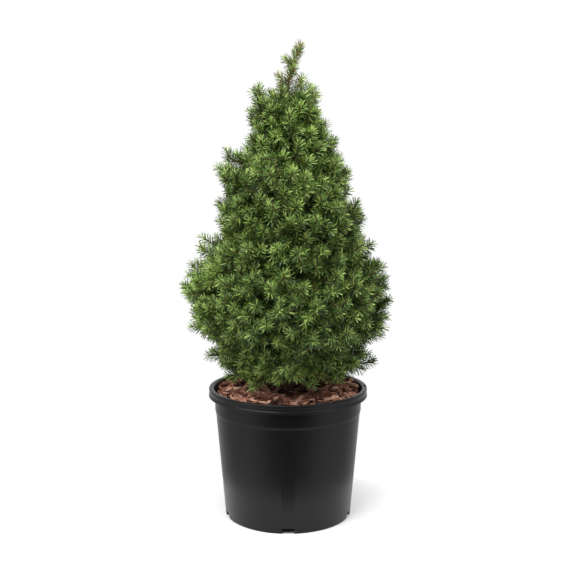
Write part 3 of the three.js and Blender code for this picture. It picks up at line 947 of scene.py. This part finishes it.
def twig_mesh(growth, sides, steps):
    """Round twigs that taper to their tips."""
    shares = np.linspace(0, 1, steps + 1)
    paths = growth.paths(shares)
    radii = np.broadcast_to(lerp(*growth.radii, shares), paths.shape[:2])
    return lofts(paths, radii, sides)


def bud_mesh(start, bend, tip):
    """A pointed bud on the tip of each twig."""
    _, way = bezier(start, bend, tip, np.ones(len(tip)))
    steps = np.array([-0.0008, 0.0003, 0.0014, 0.0026])
    paths = tip[:, None] + way[:, None] * steps[:, None]
    radii = np.broadcast_to([0.0007, 0.0013, 0.0011, 0.0003], paths.shape[:2])
    return lofts(paths, radii, 5)


BLADE_FACES = np.array([[0, 2, 1], [0, 1, 3], [0, 3, 2], [1, 2, 3]])  # by the corners that blades() gives


def needle_mesh(growth, random):
    """Needles round the clothed part of each twig, on a spiral that closes over its tip, and their tones."""
    lengths = np.linalg.norm(np.diff(growth.paths(np.linspace(0, 1, 6)), axis=1), axis=2).sum(axis=1)
    clothed = lengths * (1 - growth.bare)
    counts = np.maximum((clothed * NEEDLES_PER_METRE * growth.fullness).astype(int), 4)
    twig = np.repeat(np.arange(len(counts)), counts)
    serial = np.arange(len(twig)) - np.repeat(np.cumsum(counts) - counts, counts)
    along = (serial + random.random(len(twig))) / counts[twig]
    share = lerp(growth.bare[twig], 1.0, along)
    foot, way = bezier(growth.start[twig], growth.bend[twig], growth.tip[twig], share)
    from_tip = (1 - share) * lengths[twig]

    reference = unit(np.cross(growth.tip - growth.start, [0.31, 0.17, 0.93]))[twig]
    side, cross = frames(way, reference)
    turn = GOLDEN_TURN * serial + 2 * np.pi * random.random(len(counts))[twig]
    turn = turn + random.normal(0, 0.15, len(twig))
    outward = side * np.cos(turn)[:, None] + cross * np.sin(turn)[:, None]

    closing = np.exp(-from_tip / CLOSING_LENGTH)
    lean = np.radians(lerp(*NEEDLE_LEANS, closing) + random.normal(0, 7, len(twig)))
    heading = outward * np.sin(lean)[:, None] + way * np.cos(lean)[:, None]
    heading = unit(heading + [0, 0, 0.10])
    length = growth.needle * lerp(1.0, 0.75, closing) * random.uniform(0.84, 1.12, len(twig))
    foot = foot + outward * (0.6 * growth.radii[1])

    # Lighter towards the twig's tip and darker on the older layers, partly the needles' own colour and partly
    # painted shade deep in the crown; painted light at the crown's foot and top; and painted shade low down
    # on the right, grading to painted light on the left.
    tone = growth.tone[twig] + 1.95 - growth.age + 1.7 * along**1.5 + 0.8 * closing
    # painted light at the crown's foot and top
    tone = tone + np.interp(foot[:, 2], [0.21, 0.28, 0.65], [1.4, 0.0, 1.1])
    # painted shade low down on the right, painted light on the left
    tone = tone - np.interp(foot[:, 2], [0.38, 0.50], [6.0, 0.0]) * foot[:, 0]
    tone = np.clip((tone + random.normal(0, 2.0, len(twig))).round(), 0, TONE_COUNT - 1)
    tone = np.where(random.random(len(twig)) < growth.russet, TONE_COUNT, tone)

    corners = blades(foot, heading, length, way, outward)
    kept = clear_of_pot(corners)
    corners = corners[kept]
    triangles = BLADE_FACES + 4 * np.arange(len(corners))[:, None, None]
    return (corners.reshape(-1, 3), triangles.reshape(-1, 3)), tone[kept]


def blades(foot, heading, length, way, outward):
    """The four corners of each needle: its ends, and two that make it about as wide all along."""
    across = unit(np.cross(heading, way))
    keel = np.cross(heading, across)
    keel = keel * np.where(np.sum(keel * outward, axis=1) < 0, -1, 1)[:, None]
    sunk = keel * (0.5 * NEEDLE_WIDTH)
    half = across * (0.5 * NEEDLE_WIDTH)
    near, far = (foot + heading * (share * length)[:, None] - sunk for share in BLADE_CORNERS)
    return np.stack([foot, foot + heading * length[:, None], near + half, far - half], axis=1)


def clear_of_pot(corners):
    """True for the needles that stay above the mulch and the rim, and don't hang far down outside the pot."""
    radius = np.linalg.norm(corners[..., :2], axis=2)
    over_rim = radius > MULCH_RADIUS - 0.002
    over_pot = radius < RIM_RADIUS + 0.004
    above_pot = np.where(over_rim, POT_HEIGHT + 0.001, MULCH_TOP + 0.006)
    lowest = np.where(over_pot, above_pot, POT_HEIGHT - 0.02)
    return np.all(corners[..., 2] > lowest, axis=1)


def dress(name, grown, node, greens, browns):
    """The needles and the twigs of a mass, as two pieces that stand for its solid."""
    random = np.random.default_rng([SEED, 100, len(name), ord(name[0]), ord(name[-1])])
    needles, tones, twigs, twig_tones = [], [], [], []
    for growth in grown:
        if not len(growth.tip):
            continue
        mesh, tone = needle_mesh(growth, random)
        needles.append(mesh)
        tones.append(np.repeat(tone, len(BLADE_FACES)))
        thick = growth.radii[0] > THICK_TWIG
        wood = twig_mesh(growth, 6, 8) if thick else twig_mesh(growth, 4, 3)
        woody = thick and not growth.russet
        twigs.append(wood)
        twig_tones.append(np.full(len(wood[1]), max(growth.age, 1) if woody else growth.age))
        budded = random.random(len(growth.tip)) < BUD_SHARES[growth.age]
        if budded.any():
            buds = bud_mesh(growth.start[budded], growth.bend[budded], growth.tip[budded])
            twigs.append(buds)
            twig_tones.append(np.full(len(buds[1]), len(TWIG_BROWNS)))
    piece(f"needles_{name}", joined(needles), greens, [node], np.concatenate(tones))
    piece(f"twigs_{name}", joined(twigs), browns, [node], np.concatenate(twig_tones))


def make_foliage(masses):
    greens = needle_materials()
    browns = twig_materials()
    sprays = shared_out(spiral(SPRAY_SPACING, 0.0), masses)
    layers = [shared_out(spiral(layer.spacing, layer.inset), masses) for layer in LAYERS]
    strays = shared_out(np.array([[stray.x, stray.y, stray.z] for stray in STRAYS]), masses)
    for i, mass in enumerate(masses):
        own = [stray for stray in STRAYS if [stray.x, stray.y, stray.z] in strays[i].tolist()]
        grown = grow(mass, sprays[i], own, [layer[i] for layer in layers])
        dress(mass.name, grown, f"foliage_{mass.name}", greens, browns)
    make_leader(greens, browns)


# Side shoots up the leader's stem: the share of its length where each leaves it, the azimuth in degrees, the
# rise over the run, and the length.
LEADER_SHOOTS = (
    (0.16, -10, 2.2, 0.052),
    (0.30, 120, 1.4, 0.030),
    (0.48, 185, 1.1, 0.021),
    (0.60, 300, 1.1, 0.017),
    (0.72, 170, 1.1, 0.016),
    (0.86, 10, 1.1, 0.009),
)


def make_leader(greens, browns):
    """The trunk's newest shoot, leaning to the right, with short shoots up its stem."""
    foot = through(TRUNK_LINE, trunk_share(CROWN_TOP - LEADER_LENGTH))
    tip = np.array([LEADER_X + LEADER_LEAN, -0.002, CROWN_TOP - 0.007])
    bend = np.array([LEADER_X - 0.004, 0, lerp(foot[2], tip[2], 0.55)])
    stem = Growth(
        start=foot[None],
        bend=bend[None],
        tip=tip[None],
        radii=(0.0020, 0.0015),
        age=0,
        tone=np.array([0.3]),
        bare=np.array([0.02]),
        fullness=1.6,
        needle=0.0120,
        russet=0.25,
    )
    shares, azimuths, steepness, lengths = np.array(LEADER_SHOOTS).T
    start, _ = bezier(foot, bend, tip, shares)
    ways = on_circle(np.radians(azimuths))
    ways[:, 2] = steepness
    ends = start + unit(ways) * lengths[:, None]
    side = Growth(
        start=start,
        bend=lerp(start, ends, 0.5) - [0, 0, 0.002],
        tip=ends,
        radii=(0.0011, 0.0008),
        age=0,
        tone=np.full(len(ends), 0.8),
        bare=np.full(len(ends), 0.15),
        fullness=1.4,
        needle=0.0115,
        russet=0.12,
    )
    dress("leader", [stem, side], "foliage_leader", greens, browns)


# ---- Trunk and boughs --------------------------------------------------------


def bark_relief(paths, sides):
    """How far the bark's scales stand out, in metres, on rings of a tube."""
    angle = 2 * np.pi * np.arange(sides) / sides
    steps = np.linalg.norm(np.diff(paths, axis=1, prepend=paths[:, :1]), axis=2)
    height = np.cumsum(steps, axis=1)[..., None]
    waves = np.zeros((*paths.shape[:2], sides))
    for around, along, phase in ((5, 310, 0.3), (8, 520, 1.7), (13, 760, 2.9), (3, 140, 4.1)):
        waves += np.sin(around * angle + along * height + 2 * np.sin(along * 0.37 * height + phase) + phase)
    return BARK_RELIEF * waves


def make_limbs(masses):
    bark = bark_material()
    shares = np.linspace(0, 1, 220)
    path = through(TRUNK_LINE, shares)[None]
    radii = trunk_radius(shares)[None, :, None] + bark_relief(path, 40)
    piece("trunk_bark", lofts(path, radii, 40), [bark], ["trunk"], smooth=True)
    for mass in masses:
        if mass.bough is None:
            continue
        steps = np.linspace(0, 1, 40)
        path = bezier(*mass.bough["curve"], steps)[0][None]
        radii = lerp(mass.bough["foot_radius"], BOUGH_TIP_RADIUS, steps)[None, :, None]
        radii = radii + 0.5 * bark_relief(path, 14)
        name = f"bough_{mass.name}"
        piece(f"bark_{mass.name}", lofts(path, radii, 14), [bark], [name], smooth=True)


# ---- Stage, light and camera -------------------------------------------------

CAMERA_PLACE = (0, -1.400, 0.541)
CAMERA_PITCH = 7.74  # degrees below level
CAMERA_LENS = 58.2  # millimetres on a 36 mm sensor

FLOOR_RADIUS = 0.19
FLOOR_THICKNESS = 0.0005
FLOOR_GREYS = (0.94, 0.97)

# What every ray but the camera's finds: greys by the way it goes, from the front at 0 to the back at 1.
WORLD_GREYS = (
    (0.0, 0.15),
    (0.08, 0.20),
    (0.22, 0.84),
    (0.36, 0.92),
    (0.50, 0.72),
    (0.62, 0.56),
    (0.86, 0.56),
    (1.0, 0.85),
)

# Lights with their place, size and power in watts, all aimed at the plant's middle.
LIGHTS = (
    ("ceiling", (0.0, -0.4, 2.3), (1.8, 1.8), 57),
    ("key", (-1.3, -1.2, 1.9), (2.2, 1.4), 30),
    ("fill", (1.4, -1.1, 1.7), (1.0, 0.7), 4),
)


def add_light(name, place, target, size, power):
    lamp = bpy.data.lights.new(name, "AREA")
    lamp.shape = "RECTANGLE"
    lamp.size, lamp.size_y = size
    lamp.energy = power
    made = placed(name, lamp)
    made.location = place
    aim = target - made.location
    made.rotation_euler = aim.to_track_quat("-Z", "Y").to_euler()


def make_world():
    """White to the camera, and graded greys to every other ray."""
    world = bpy.data.worlds.new("studio")
    world.use_nodes = True
    background = world.node_tree.nodes["Background"]
    background.inputs["Strength"].default_value = 1.0
    seen = world.node_tree.nodes.new("ShaderNodeLightPath")
    way = world.node_tree.nodes.new("ShaderNodeTexCoord")
    split = world.node_tree.nodes.new("ShaderNodeSeparateXYZ")
    share = world.node_tree.nodes.new("ShaderNodeMapRange")
    share.inputs["From Min"].default_value = -1
    ramp = world.node_tree.nodes.new("ShaderNodeValToRGB")
    set_stops(ramp, [(place, (grey, grey, grey)) for place, grey in WORLD_GREYS])
    mix = world.node_tree.nodes.new("ShaderNodeMix")
    mix.data_type = "RGBA"
    link = world.node_tree.links.new
    link(way.outputs["Generated"], split.inputs[0])
    link(split.outputs["Y"], share.inputs["Value"])
    link(share.outputs["Result"], ramp.inputs["Fac"])
    link(seen.outputs["Is Camera Ray"], mix.inputs[0])
    link(ramp.outputs["Color"], mix.inputs[6])
    mix.inputs[7].default_value = (1, 1, 1, 1)
    link(mix.outputs[2], background.inputs["Color"])
    return world


def make_floor():
    bottom = -FLOOR_THICKNESS
    vertices, triangles = turned([[0, bottom], [FLOOR_RADIUS, bottom], [FLOOR_RADIUS, 0], [0, 0]], 96)
    mesh = bpy.data.meshes.new("floor")
    mesh.from_pydata(vertices.tolist(), [], triangles.tolist())
    nodes = Nodes("floor_paint")
    paint = nodes.ramp(nodes.noise(nodes.place, 3), [(i, (grey,) * 3) for i, grey in enumerate(FLOOR_GREYS)])
    mesh.materials.append(nodes.shade(Base_Color=paint, Roughness=0.9))
    placed("floor", mesh)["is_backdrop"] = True


def make_studio():
    scene = bpy.context.scene
    scene.view_settings.view_transform = "Standard"
    scene.world = make_world()
    make_floor()
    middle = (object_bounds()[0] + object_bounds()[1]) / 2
    for name, place, size, power in LIGHTS:
        add_light(name, place, middle, size, power)

    lens = bpy.data.cameras.new("camera")
    lens.lens = CAMERA_LENS
    lens.sensor_width = 36
    camera = placed("camera", lens)
    camera.location = CAMERA_PLACE
    camera.rotation_euler = (math.radians(90 - CAMERA_PITCH), 0, 0)
    scene.camera = camera


# ---- Assembly ----------------------------------------------------------------

make_studio()
make_pot()
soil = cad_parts["potting_soil"].data
soil.materials.clear()
soil.materials.append(soil_material())
make_mulch()
plant_masses = make_masses()
make_limbs(plant_masses)
make_foliage(plant_masses)
